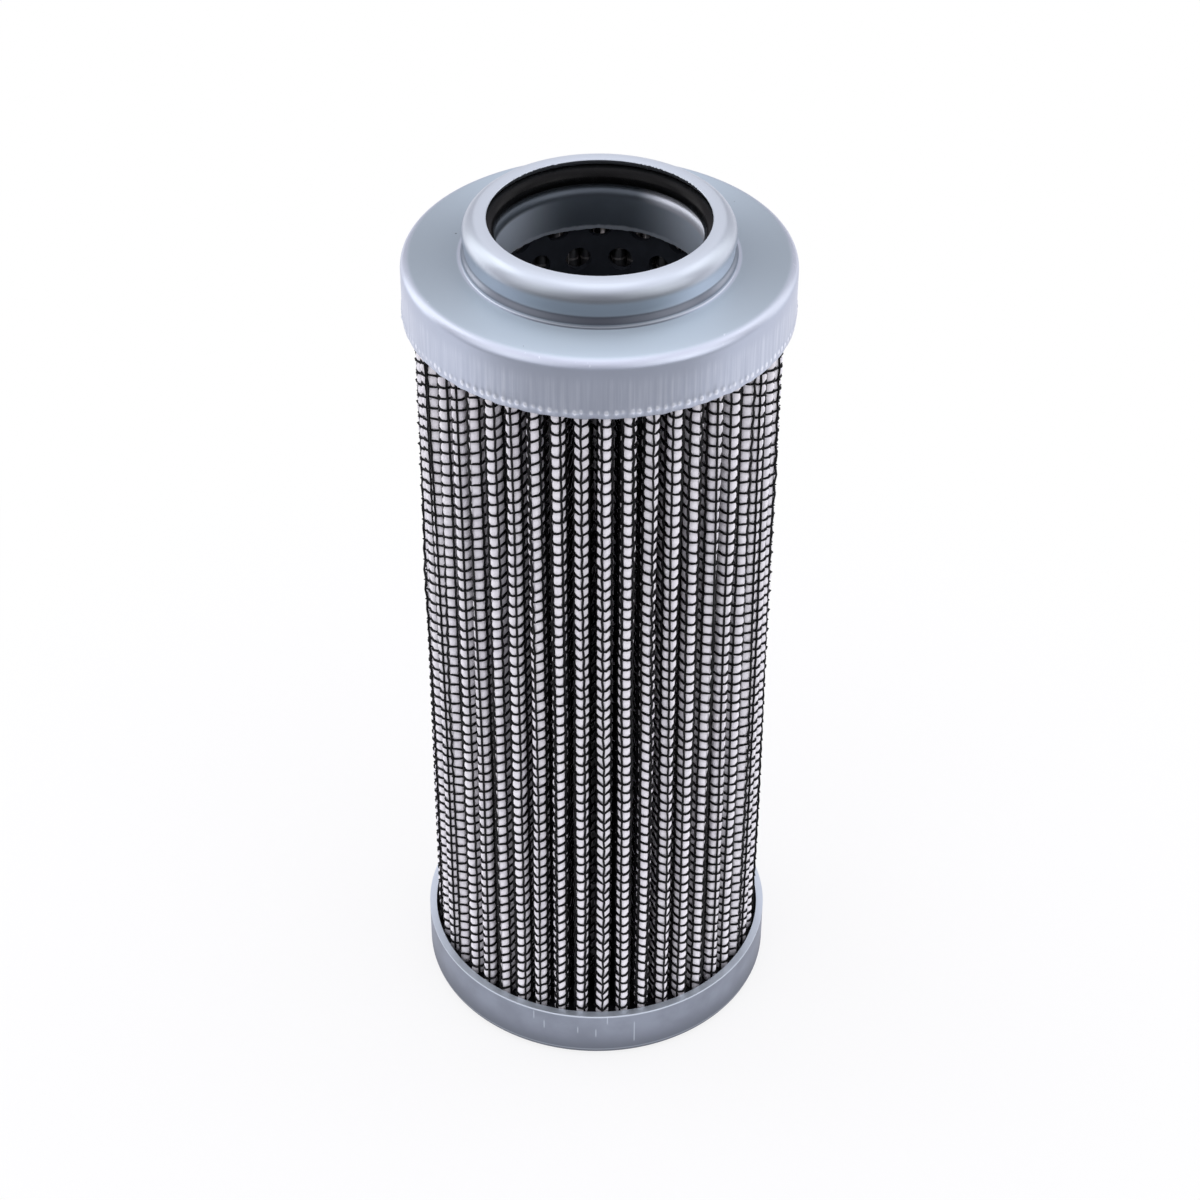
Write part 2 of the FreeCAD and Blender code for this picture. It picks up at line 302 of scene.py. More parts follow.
# A closed outline of radii and heights, spun round the axis
def spinOutline(name, outline, columns):
    mesh = bpy.data.meshes.new(name)
    count = len(outline)
    mesh.from_pydata([(r * mm, 0, z * mm) for r, z in outline],
                     [(i, (i + 1) % count) for i in range(count)], [])
    piece = bpy.data.objects.new(name, mesh)
    bpy.context.collection.objects.link(piece)
    takeUp(piece)
    bpy.ops.object.mode_set(mode="EDIT")
    bpy.ops.mesh.select_all(action="SELECT")
    bpy.ops.mesh.spin(steps=columns, angle=2 * math.pi, center=(0, 0, 0), axis=(0, 0, 1))
    bpy.ops.mesh.select_all(action="SELECT")
    bpy.ops.mesh.remove_doubles(threshold=turned["weld"])
    bpy.ops.mesh.normals_make_consistent(inside=False)
    bpy.ops.object.mode_set(mode="OBJECT")
    bpy.ops.object.shade_smooth_by_angle(angle=turned["smoothUnder"])
    return piece


def pointsOf(piece):
    points = np.empty(len(piece.data.vertices) * 3)
    piece.data.vertices.foreach_get("co", points)
    return points.reshape(-1, 3) / mm


def setPoints(piece, points):
    piece.data.vertices.foreach_set("co", (points * mm).ravel())
    piece.data.update()


# The folded wire cloth and the medium under it share one path round all the folds.
# Lengths along it are in millimetres, from the valley before the first crest.
pleats = {
    "count": 48,
    "firstCrest": math.radians(-87.86),  # the crest nearest the front
    "crestRing": 20.36,  # centres of the crest bends
    "crestBend": 0.76,  # to the middle of the wire cloth
    "valleyRing": 14.4,
    "valleyBend": 0.39,
    "wander": 0.13,  # how far a crest strays sideways
    "wanderShares": (0.6, 0.55, 0.25),  # leaning, in a long wave and in a short one
    "wanderWaves": (14, 5.5),
    "wanderHeld": 0.4,  # what is left of it where the caps hold the folds
    "lean": 0.05,  # how far a crest strays inwards
    "leanWave": 23,
    "rise": 0.10,  # how far the rows rise and sink from fold to fold
    "riseWave": 40,
    "ripple": 0.05,  # and along a fold
    "rippleTurns": (0.9, 0.7),
    "ends": (2, 106),
    "endFade": 12,
    "drift": 0.35,  # how far the wires wander across the folds
    "driftWave": 31.0,
    "driftStart": 0.8,
    "point": 1.25,  # a crest that a wire runs along comes to a point, this high to its bend
    "pointCurve": 1.1,
    "pointShare": 0.8,
    "probe": 0.06,  # how far to each side a normal is measured
    "foot": 3.42,
    "head": 104.48,
}
halfFold = math.pi / pleats["count"]


def layOutFold():
    a, b = pleats["crestBend"], pleats["valleyBend"]
    valley = np.array((math.cos(halfFold), math.sin(halfFold))) * pleats["valleyRing"]
    crest = np.array((pleats["crestRing"], 0.0))
    gap = valley - crest
    reach = math.hypot(*gap)
    turn = math.atan2(gap[1], gap[0]) - math.acos((a + b) / reach)
    normal = np.array((math.cos(turn), math.sin(turn)))
    flank = (valley - b * normal) - (crest + a * normal)
    lengths = (a * turn, math.hypot(*flank), b * (turn - halfFold))
    return {"crest": crest, "valley": valley, "turn": turn, "along": flank / lengths[1],
            "lengths": lengths, "length": 2 * sum(lengths)}


fold = layOutFold()
pathLength = fold["length"] * pleats["count"]
stray = {
    "side": rng.uniform(-1, 1, (pleats["count"], 3)),
    "phase": rng.uniform(0, 2 * math.pi, (pleats["count"], 3)),
    "in": rng.uniform(-1, 1, pleats["count"]),
}


# Place at lengths s from the crest; point is 1 where the crest is pointed, 0 where it is round
def acrossFold(s, point):
    a, b = pleats["crestBend"], pleats["valleyBend"]
    crestLength, flankLength, _ = fold["lengths"]
    u = np.abs(s)
    turn = np.minimum(u, crestLength) / a
    down = np.clip(u - crestLength, 0, flankLength)
    sharpen = pleats["point"] * (1 - np.sin(turn) ** pleats["pointCurve"]) - np.cos(turn)
    x = fold["crest"][0] + a * np.cos(turn) + down * fold["along"][0]
    x = x + a * point * sharpen * np.exp(-down)
    y = a * np.sin(turn) + down * fold["along"][1]
    beyond = u - crestLength - flankLength
    angle = fold["turn"] + math.pi - np.maximum(beyond, 0) / b
    x = np.where(beyond > 0, fold["valley"][0] + b * np.cos(angle), x)
    y = np.where(beyond > 0, fold["valley"][1] + b * np.sin(angle), y)
    return x, y * np.sign(s)


def driftAt(z):
    return pleats["drift"] * np.sin(z / pleats["driftWave"] + pleats["driftStart"])


# How far places x from the axis stray inwards, sideways and up in fold k
def strayAt(k, x, s, z):
    side, phase = stray["side"][k], stray["phase"][k]
    weight = (x - pleats["valleyRing"]) / (pleats["crestRing"] - pleats["valleyRing"])
    weight = np.clip(weight, 0, 1)
    low, high = pleats["ends"]
    ends = np.clip(np.minimum(z - low, high - z) / pleats["endFade"], 0, 1)
    held, shares, waves = pleats["wanderHeld"], pleats["wanderShares"], pleats["wanderWaves"]
    wave = (shares[0] * side[..., 0]
            + shares[1] * side[..., 1] * np.sin(z / waves[0] + phase[..., 1])
            + shares[2] * side[..., 2] * np.sin(z / waves[1] + phase[..., 2]))
    sideways = pleats["wander"] * wave * weight * (held + (1 - held) * ends)
    inwards = pleats["lean"] * weight * ends * (1 - stray["in"][k])
    inwards = inwards * np.abs(np.sin(z / pleats["leanWave"] + phase[..., 0]))
    alongTurn, upTurn = pleats["rippleTurns"]
    upwards = pleats["rise"] * np.sin(phase[..., 0] + z / pleats["riseWave"]) * weight
    upwards = upwards + pleats["ripple"] * np.sin(s * alongTurn + z * upTurn)
    return inwards, sideways, upwards


# Points at lengths s along the cloth and heights z, lifted off its middle, with normals
def onCloth(s, z, lift):
    s, z, lift = np.broadcast_arrays(s, z, lift)
    drift = driftAt(z)
    s = np.mod(s + drift, pathLength)
    k = np.minimum((s / fold["length"]).astype(int), pleats["count"] - 1)
    crest = (k + 0.5) * fold["length"]
    onWire = 0.5 + 0.5 * np.cos(2 * math.pi * (crest - drift) / pitch)
    point = onWire ** pleats["pointShare"]
    x, y = acrossFold(s - crest, point)
    aheadX, aheadY = acrossFold(s - crest + pleats["probe"], point)
    behindX, behindY = acrossFold(s - crest - pleats["probe"], point)
    nx, ny = aheadY - behindY, behindX - aheadX
    size = np.hypot(nx, ny)
    nx, ny = nx / size, ny / size
    x, y = x + lift * nx, y + lift * ny
    inwards, sideways, upwards = strayAt(k, x, s, z)
    x, y = x - inwards, y + sideways
    angle = pleats["firstCrest"] + 2 * halfFold * k
    c, sn = np.cos(angle), np.sin(angle)
    points = np.stack((x * c - y * sn, x * sn + y * c, z + upwards), axis=-1) * mm
    normals = np.stack((nx * c - ny * sn, nx * sn + ny * c, np.zeros_like(x)), axis=-1)
    return points, normals


# Outer mesh: black wires, woven over and under each other along the folds
cloth = {
    "pitch": 1.5,
    "wireRadius": 0.165,
    "wireSides": 3,
    "crimp": 0.10,
    "firstRow": 5.6,
    "lastRow": 102.4,
    "seen": 3.4,  # how far from a crest the weave is made in full
    "round": 0.5,  # how far past a crest's bend its steps stay close
    "steps": (4, 2, 1),  # steps from wire to wire: on the crest, in sight, and deep in a fold
}
wireCount = round(pathLength / cloth["pitch"])
pitch = pathLength / wireCount
rowCount = int((cloth["lastRow"] - cloth["firstRow"]) / cloth["pitch"]) + 1


def crestDistance(s):
    return np.abs(np.mod(s, fold["length"]) - fold["length"] / 2)


# Lengths along the cloth, close together at the crests and one per wire down in the folds
def clothSteps():
    onCrest, inSight, deep = cloth["steps"]
    steps = []
    for i in range(wireCount):
        away = crestDistance((i + 0.5) * pitch)
        parts = onCrest if away < fold["lengths"][0] + cloth["round"] else deep
        if parts == deep and away < cloth["seen"]:
            parts = inSight
        steps += [(i + j / parts) * pitch for j in range(parts)]
    return np.array(steps)


# Wires of a few flat sides along rows of points; closed rows join their ends
def tubes(name, centres, normals, radius, sides, closed):
    rows, count = centres.shape[:2]
    if closed:
        ahead, behind = np.roll(centres, -1, axis=1), np.roll(centres, 1, axis=1)
        along = ahead - behind
    else:
        along = np.gradient(centres, axis=1)
    along /= np.linalg.norm(along, axis=2, keepdims=True)
    side = np.cross(along, normals)
    side /= np.linalg.norm(side, axis=2, keepdims=True)
    out = np.cross(side, along)
    rings = []
    for corner in range(sides):
        angle = 2 * math.pi * corner / sides + math.pi / 2
        rings.append(centres + radius * mm * (math.sin(angle) * out + math.cos(angle) * side))
    points = np.stack(rings, axis=2).reshape(-1, 3)
    last = count if closed else count - 1
    row, step, corner = np.meshgrid(np.arange(rows), np.arange(last), np.arange(sides),
                                    indexing="ij")
    nextStep, nextCorner = (step + 1) % count, (corner + 1) % sides
    base = row * count * sides
    quads = np.stack((base + step * sides + corner, base + step * sides + nextCorner,
                      base + nextStep * sides + nextCorner, base + nextStep * sides + corner),
                     axis=-1).reshape(-1, 4).tolist()
    if not closed:
        for r in range(rows):
            start = r * count * sides
            quads.append([start + c for c in range(sides)][::-1])
            quads.append([start + (count - 1) * sides + c for c in range(sides)])
    return newMesh(name, points.tolist(), quads)


def weaveCloth(steps):
    pieces = []
    thread = cloth["wireRadius"], cloth["wireSides"]
    heights = cloth["firstRow"] + cloth["pitch"] * np.arange(rowCount)
    across = np.cos(math.pi * steps / pitch)
    rowParts = np.split(np.arange(rowCount), [rowCount // 2])
    for part, rows in zip(("lower", "upper"), rowParts):
        over = np.where(rows % 2, -1.0, 1.0)[:, None]
        lift = cloth["crimp"] * over * across[None, :]
        centres, normals = onCloth(steps[None, :], heights[rows][:, None], lift)
        pieces.append(tubes(f"{part}CrossWires", centres, normals, *thread, True))
    chosen = np.array([i for i in range(wireCount) if crestDistance(i * pitch) < cloth["seen"]])
    half = np.arange(2 * rowCount + 3) / 2 - 1
    z = cloth["firstRow"] + cloth["pitch"] * half
    over = np.where(chosen % 2, -1.0, 1.0)[:, None]
    lift = -cloth["crimp"] * over * np.cos(math.pi * half)[None, :]
    centres, normals = onCloth(chosen[:, None] * pitch, z[None, :], lift)
    pieces.append(tubes("uprightWires", centres, normals, *thread, False))
    return pieces


# Medium: the white ply under the wires, in two halves, and the inner mesh behind it
medium = {
    "under": -0.21,  # where the wires hold it down
    "pillow": 0.34,  # how far it swells between them
    "pillowCurve": 2.6,
    "loose": (0.75, 1.1),  # share of that swell, from cell to cell
    "inside": -0.30,
    "rowParts": 3,
    "margin": 0.5,  # how far past the seen weave it still swells
    "deepRows": 24,  # rows that one face spans, down in the folds
    "edge": 1e-6,  # a place this near to a wire counts as past it
    "weave": (-0.37, -0.50),  # outside and inside of the wire mesh behind it
    "weaveCrest": (0.35, 0.75),  # its places on a crest's bend and down a flank
    "weaveFlank": (2.6, 4.6),
    "weaveRows": 9,
}


def swell(t):
    return 1 - np.abs(2 * (t - np.floor(t)) - 1) ** medium["pillowCurve"]


def joinUp(name, points, faces):
    used = np.zeros(len(points), dtype=bool)
    used[[v for face in faces for v in face]] = True
    fresh = (np.cumsum(used) - 1).tolist()
    return newMesh(name, points[used].tolist(), [[fresh[v] for v in face] for face in faces])


def foldMedium(steps):
    parts, edge = medium["rowParts"], medium["edge"]
    fine = cloth["firstRow"] + cloth["pitch"] * np.arange((rowCount - 1) * parts + 1) / parts
    z = np.concatenate(([pleats["foot"]], fine, [pleats["head"]]))
    rowPlace = np.concatenate(([0.0], np.arange(len(fine)) / parts, [0.0]))
    rowCell = np.minimum((rowPlace + edge).astype(int), rowCount)
    halves = []
    middle = np.searchsorted(steps, pathLength / 2)
    spans = (steps[:middle + 1], np.append(steps[middle:], pathLength))
    loose = rng.uniform(*medium["loose"], (wireCount + 1, rowCount + 1))
    for name, span in zip(("leftMedium", "rightMedium"), spans):
        near = crestDistance(span) < cloth["seen"] + medium["margin"]
        spanCell = np.minimum((span / pitch + edge).astype(int), wireCount)
        puff = swell(span / pitch)[:, None] * swell(rowPlace)[None, :] * near[:, None]
        puff = puff * loose[spanCell[:, None], rowCell[None, :]]
        outer, _ = onCloth(span[:, None], z[None, :], medium["under"] + medium["pillow"] * puff)
        inner, _ = onCloth(span[:, None], z[None, [0, -1]], medium["inside"])
        n, m = len(span), len(z)
        points = np.concatenate((outer.reshape(-1, 3), inner.reshape(-1, 3)))
        base = n * m
        full = [near[i] or near[min(i + 1, n - 1)] for i in range(n - 1)]
        stops = [*range(0, m - 1, medium["deepRows"]), m - 1]
        faces = []
        for i in range(n - 1):
            here, there = i * m, (i + 1) * m
            if full[i]:
                faces += [[here + j, there + j, there + j + 1, here + j + 1]
                          for j in range(m - 1)]
            else:
                leftFine = i > 0 and full[i - 1]
                rightFine = i < n - 2 and full[i + 1]
                for low, high in zip(stops, stops[1:]):
                    right = range(low, high + 1) if rightFine else (low, high)
                    left = range(high, low - 1, -1) if leftFine else (high, low)
                    faces.append([there + j for j in right] + [here + j for j in left])
            lowIn, highIn = base + 2 * i, base + 2 * i + 1
            faces.append([lowIn, highIn, highIn + 2, lowIn + 2])
            faces.append([here, lowIn, lowIn + 2, there])
            faces.append([there - 1, there + m - 1, highIn + 2, highIn])
        for i, isFine in ((0, full[0]), (n - 1, full[-1])):
            side = [i * m + j for j in (range(m) if isFine else stops)]
            side += [base + 2 * i + 1, base + 2 * i]
            faces.append(side[::-1] if i else side)
        halves.append(joinUp(name, points, faces))
    return halves


# The weave behind the medium keeps to the folds, so its places are taken from each crest
def foldWeave():
    crestLength, flankLength, valleyLength = fold["lengths"]
    valley = crestLength + flankLength
    near = [*medium["weaveCrest"], crestLength, *medium["weaveFlank"],
            valley, valley + 0.5 * valleyLength]
    places = np.array([-u for u in near[::-1]] + [0] + near + [fold["length"] / 2])
    s = np.concatenate([(k + 0.5) * fold["length"] + places for k in range(pleats["count"])])
    z = np.linspace(pleats["foot"], pleats["head"], medium["weaveRows"])
    n, m = len(s), len(z)
    walls = [onCloth(s[:, None] - driftAt(z), z[None, :], lift)[0].reshape(-1, 3)
             for lift in medium["weave"]]
    faces, marks = [], []
    for i in range(n):
        here, there = i * m, (i + 1) % n * m
        left = s[i] / pitch
        right = (s[i + 1] if i + 1 < n else s[0] + pathLength) / pitch
        for j in range(m - 1):
            low, high = z[j] / pitch, z[j + 1] / pitch
            faces.append([here + j, there + j, there + j + 1, here + j + 1])
            faces.append([n * m + v for v in faces[-1][::-1]])
            marks += [(left, low), (right, low), (right, high), (left, high)]
            marks += [(left, high), (right, high), (right, low), (left, low)]
        faces.append([here, here + n * m, there + n * m, there])
        faces.append([there + m - 1, there + n * m + m - 1,
                      here + n * m + m - 1, here + m - 1])
        marks += [(left, 0), (left, 0), (right, 0), (right, 0)] * 2
    piece = newMesh("innerWeave", np.concatenate(walls).tolist(), faces)
    layer = piece.data.uv_layers.new(name="wires")
    layer.data.foreach_set("uv", np.array(marks, dtype=np.float32).ravel())
    return piece


# Core tube: perforated in staggered rows from one end to the other
core = {
    "bore": 12.75,
    "outside": 13.45,
    "foot": 3.4,
    "top": 108.64,
    "around": 16,
    "rows": 23,
    "firstRow": 103.86,
    "rowStep": 4.35,
    "hole": 3.0,
    "holeSides": 16,
    "sides": 96,
    "punch": 2.4,  # length of the punches that cut the holes
    "weld": 1e-6,
    "smoothUnder": math.radians(40),
}


def perforateCore():
    bpy.ops.object.select_all(action="DESELECT")
    height = core["top"] - core["foot"]
    middle = (core["top"] + core["foot"]) / 2 * mm
    bpy.ops.mesh.primitive_cylinder_add(
        vertices=core["sides"], radius=core["outside"] * mm, depth=height * mm,
        end_fill_type="NOTHING", location=(0, 0, middle))
    tube = bpy.context.object
    tube.name = "perforatedCore"
    bpy.ops.object.transform_apply(location=True)
    wall = tube.modifiers.new("wall", "SOLIDIFY")
    wall.thickness = (core["outside"] - core["bore"]) * mm
    wall.offset = -1
    bpy.ops.object.modifier_apply(modifier="wall")
    bpy.ops.object.select_all(action="DESELECT")
    bpy.ops.mesh.primitive_cylinder_add(
        vertices=core["holeSides"], radius=core["hole"] / 2 * mm, depth=core["punch"] * mm,
        location=((core["bore"] + core["outside"]) / 2 * mm, 0, core["firstRow"] * mm),
        rotation=(0, math.pi / 2, 0))
    punch = bpy.context.object
    bpy.ops.object.transform_apply(location=True, rotation=True)
    bpy.ops.object.mode_set(mode="EDIT")
    bpy.ops.mesh.select_all(action="SELECT")
    bpy.ops.mesh.spin(steps=core["around"], angle=2 * math.pi, dupli=True,
                      center=(0, 0, 0), axis=(0, 0, 1))
    bpy.ops.mesh.select_all(action="SELECT")
    bpy.ops.mesh.remove_doubles(threshold=core["weld"])
    bpy.ops.object.mode_set(mode="OBJECT")
    one = pointsOf(punch) * mm
    faces = [list(p.vertices) for p in punch.data.polygons]
    bpy.data.objects.remove(punch)
    points, allFaces = [], []
    for row in range(core["rows"]):
        turn = -math.pi / 2 + (math.pi / core["around"] if row % 2 else 0)
        c, s = math.cos(turn), math.sin(turn)
        down = row * core["rowStep"] * mm
        allFaces += [[len(points) + v for v in face] for face in faces]
        points += [(x * c - y * s, x * s + y * c, z - down) for x, y, z in one]
    punches = newMesh("punches", points, allFaces)
    takeUp(tube)
    cut = tube.modifiers.new("holes", "BOOLEAN")
    cut.operation = "DIFFERENCE"
    cut.solver = "EXACT"
    cut.object = punches
    bpy.ops.object.modifier_apply(modifier="holes")
    bpy.data.objects.remove(punches)
    bpy.ops.object.shade_smooth_by_angle(angle=core["smoothUnder"])
    return tube


# Top cap: drawn from one sheet, the neck with a rolled lip and a small step at its foot.
# Heights are above the base of the element.
topCap = {
    "columns": 600,
    "radius": 22.5,
    "sheet": 0.9,
    "edge": 100.55,
    "edgeRound": 0.12,
    "flat": 107.9,
    "top": 112.7,
    "bend": 1.2,
    "bendInside": 0.3,
    "neck": 15.5,
    "neckRound": 2.0,
    "neckRoundInside": 1.1,
    "lip": 12.7,
    "skirtRings": (0.3, 0.45, 0.6, 0.75, 0.9, 1.05, 1.2, 1.35, 1.6, 2.4, 4.2),  # above the edge
    "flatRings": (20.2, 18.4, 16.6, 15.84),
    # radii and heights of the step and the waist above it, from the flat up
    "step": [(15.73, 107.94), (15.68, 108.03), (15.655, 108.2), (15.60, 108.4), (15.50, 108.58),
             (15.38, 108.76), (15.30, 108.96), (15.28, 109.25), (15.34, 109.8)],
    # how far out from the lip and down from the top, round the rolled edge
    "rolled": [(0.07, 0.03), (0, 0.12), (0.08, 0.36), (0.42, 0.86)],
    "lipFlat": 13.1,
    "inside": [(14.35, 108.2), (14.5, 107.4)],
    "rootInside": 15.2,
    "edgeWave": 0.035,
    "edgeWaves": (31, 47, 83),
    "edgeWaveHeight": 0.5,
    "burr": 0.08,
    "burrSmooth": 0.15,  # share of it along the rest of the mouth
    "burrZone": (0.1, 0.4),  # out from the lip and down from the top
    "burrs": [(-158, -128), (118, 160)],  # rough parts of the mouth, degrees round from the front
    "nipHeight": 101.5,
    "nipCount": 156,
    "nipWide": 0.24,
    "nipTall": 0.36,
    "nipOut": 0.21,
    "nipShift": 0.15,
    "nipStrength": (0.45, 1.0),
    "nipRise": 0.08,
    "nipZone": (0.05, 103),  # in from the radius, and the height that they stay below
}


def capOutline():
    c = topCap
    radius, edge, flat, top = c["radius"], c["edge"], c["flat"], c["top"]
    bore, under = radius - c["sheet"], flat - c["sheet"]
    outline = [(bore, edge), (radius - c["edgeRound"], edge), (radius, edge + c["edgeRound"])]
    outline += [(radius, edge + z) for z in c["skirtRings"]]
    outline += arc((radius - c["bend"], flat - c["bend"]), c["bend"], 0, 90, 9)
    outline += [(r, flat) for r in c["flatRings"]] + c["step"]
    outer, inner = c["neckRound"], c["neckRoundInside"]
    middle = c["neck"] - outer
    outline += arc((middle, top - outer), outer, -6, 90, 11)
    outline += [(c["lipFlat"], top)]
    outline += [(c["lip"] + out, top - down) for out, down in c["rolled"]]
    outline += arc((middle, top - outer), inner, 90, 0, 4)
    outline += c["inside"] + [(c["rootInside"], under), (bore - c["bendInside"], under),
                              (bore, under - c["bendInside"])]
    return outline


def drawTopCap():
    c = topCap
    cap = spinOutline("topCap", capOutline(), c["columns"])
    points = pointsOf(cap)
    z = points[:, 2]
    radius = np.hypot(points[:, 0], points[:, 1])
    around = np.arctan2(points[:, 1], points[:, 0])
    count = c["nipCount"]
    step = 2 * math.pi / count
    nip = np.round(around / step).astype(int) % count
    shift = rng.uniform(-c["nipShift"], c["nipShift"], count)
    strength = rng.uniform(*c["nipStrength"], count)
    rise = rng.uniform(-c["nipRise"], c["nipRise"], count)
    out = np.zeros(len(points))
    for other in (-1, 0, 1):
        k = (nip + other) % count
        away = np.mod(around / step - (k + shift[k]) + count / 2, count) - count / 2
        across = away * step * c["radius"] / c["nipWide"]
        upward = (z - c["nipHeight"] - rise[k]) / c["nipTall"]
        out += strength[k] * np.exp(-across ** 2 - upward ** 2)
    inward, below = c["nipZone"]
    onSkirt = (radius > c["radius"] - inward) & (z < below)
    column = np.round(around / (2 * math.pi) * c["columns"]).astype(int) % c["columns"]
    ragged = rng.uniform(-1, 1, c["columns"])[column]
    turn = np.degrees(np.mod(around + math.pi / 2 + math.pi, 2 * math.pi) - math.pi)
    rough = np.full(len(points), c["burrSmooth"])
    for start, end in c["burrs"]:
        rough[(turn > start) & (turn < end)] += 1.0
    outward, down = c["burrZone"]
    onLip = (radius < c["lip"] + outward) & (z > c["top"] - down)
    wave = sum(np.sin(around * waves + i) for i, waves in enumerate(c["edgeWaves"]))
    low = np.clip((c["edge"] + c["edgeWaveHeight"] - z) / c["edgeWaveHeight"], 0, 1)
    newRadius = radius + c["nipOut"] * out * onSkirt + rough * c["burr"] * ragged * onLip
    points[:, :2] *= (newRadius / radius)[:, None]
    points[:, 2] += c["edgeWave"] * wave * low
    setPoints(cap, points)
    return cap


# Sleeve: its wide flange lies under the seal ring, its lower edge is left rough
sleeve = {
    "columns": 256,
    "bore": 11.95,
    "wall": 0.7,
    "flange": 109.36,
    "flangeRadius": 14.25,
    "bend": 0.9,
    "bendInside": (0.25, 0.26),  # across and down
    "edge": 103.91,
    "boreRings": (2.59, 0.7, 0.35),  # above the edge
    "edgeRound": (0.03, 0.05, 0.1),
    "ragged": 0.07,
    "raggedShares": (1, 0.5, 1),  # a column's own cut, its neighbour's and a slow wave
    "raggedWave": 0.31,
    "raggedScale": 0.6,
    "raggedHeight": 0.3,
}


def drawSleeve():
    s = sleeve
    bore, flange, edge = s["bore"], s["flange"], s["edge"]
    outside, under = bore + s["wall"], flange - s["wall"]
    inward, outward, up = s["edgeRound"]
    across, down = s["bendInside"]
    outline = [(s["flangeRadius"], flange)]
    outline += arc((bore + s["bend"], flange - s["bend"]), s["bend"], 90, 180, 9)
    outline += [(bore, edge + z) for z in s["boreRings"]]
    outline += [(bore + inward, edge), (outside - outward, edge), (outside, edge + up),
                (outside, under - down), (outside + across, under), (s["flangeRadius"], under)]
    piece = spinOutline("neckSleeve", outline, s["columns"])
    points = pointsOf(piece)
    around = np.arctan2(points[:, 1], points[:, 0])
    column = np.round(around / (2 * math.pi) * s["columns"]).astype(int) % s["columns"]
    own, beside, slow = s["raggedShares"]
    cut = rng.uniform(-1, 1, s["columns"])
    cut = own * cut + beside * np.roll(cut, 1)
    cut = (cut + slow * np.sin(np.arange(s["columns"]) * s["raggedWave"])) * s["raggedScale"]
    low = np.clip((edge + s["raggedHeight"] - points[:, 2]) / s["raggedHeight"], 0, 1)
    points[:, 2] += s["ragged"] * cut[column] * low
    setPoints(piece, points)
    return piece


# Finishes. A noise is given as its scale, detail and roughness, a bump as its strength and
# height in metres, and a zone as Finish.zone takes it: "out" is the distance from the axis.
plating = {
    "skirt": (0.495, 0.545, 0.635),
    "clouds": (0.94, 1.06),  # darker and lighter shade of the skirt
    "flat": (0.62, 0.73, 0.80),
    # painted shade: the flat is coloured darker to the left and right, where its sheen falls off
    "flatSidesPaintedShade": 0.58,  # shade to the left and right
    "flatMetallic": 0.60,
    "flatRoughness": 0.44,
    # Painted light and shade on the neck: its wall is dark in front as painted shade, lighter to
    # the sides, and lighter still on the right below the round as painted light
    "neck": (0.245, 0.27, 0.295),
    "neckSides": (0.50, 0.545, 0.60),
    "neckLeft": (0.56, 0.61, 0.68),  # on its wall, below the round
    "neckRight": (0.80, 0.86, 0.94),
    "neckTurn": 0.6,  # how far round to the side these colours are full
    # painted shade in the crease just above the neck's foot, darkest in front
    "paintedCreaseShade": (0.09, 0.10, 0.118),  # just above the neck's foot, in front
    "paintedCreaseShadeSides": (0.33, 0.36, 0.41),
    "paintedCreaseShadeTurn": 0.85,
    "lip": (0.65, 0.715, 0.77),
    # painted shade: the lip is darker to the left and right
    "lipSidesPaintedShade": 0.92,
    "lipMetallic": 0.38,  # the level top, where the plating is dull as on the flat
    "bright": (0.80, 0.84, 0.90),
    "worn": 1.1,  # shade of bare metal where the plating has worn
    # the bend is lighter: worn metal, and a painted highlight along the shoulder
    "bendWearAndPaintedHighlight": 0.3,
    # the nips are lighter: wear, and a painted highlight on each bump
    "nipWearAndPaintedHighlight": 0.9,
    "nickWear": 0.5,
    "nicks": (0.72, 0.76),
    "drawLines": 0.38,
    "drawSpread": (0.35, 0.72),
    "drawStretch": 0.03,
    "patches": (0.3, 0.7, 0.4, 1.0),  # where the draw lines are faint and strong
    "patchStretch": 0.4,
    "metallic": 0.95,
    "roughness": 0.31,
    "cloudRoughness": 0.06,
    "stains": [(-16.35, 4.0, 0.16), (15.6, 11.5, 0.08), (-8.1, -19.3, 0.07)],  # x, y and size
    "stainShade": 0.15,
    "stainShare": 0.8,
    "cloudNoise": (170, 3),
    "fineNoise": (2600, 2),
    "lineNoise": (1900, 3, 0.6),
    "patchNoise": (260, 2),
    "nickNoise": (1300, 1),
    "fineBump": (0.05, 0.0001),
    "lineBump": (0.35, 0.00005),
}
capZones = {
    "skirt": [("out", 22.40, 22.47), ("up", 106.4, 104.6)],
    "nips": [("out", 22.53, 22.62)],
    "bend": [("out", 21.3, 21.6), ("up", 107.0, 107.5)],
    "flat": [("out", 22.1, 21.3), ("out", 15.8, 16.2), ("up", 107.4, 107.85)],
    "neck": [("out", 16.2, 15.8), ("up", 107.4, 107.6)],
    # painted shade in the crease at the neck's foot
    "paintedCreaseShade": [("up", 109.2, 108.9), ("up", 108.12, 108.28)],
    # zones of the painted light on the neck's wall: its right side, and its top down to below the
    # round
    "right": [("x", 0.0, 10.0), ("up", 108.4, 109.0)],
    "wall": [("up", 111.3, 110.3)],
    "lip": [("up", 111.4, 112.5)],
    "top": [("up", 112.5, 112.66)],
}


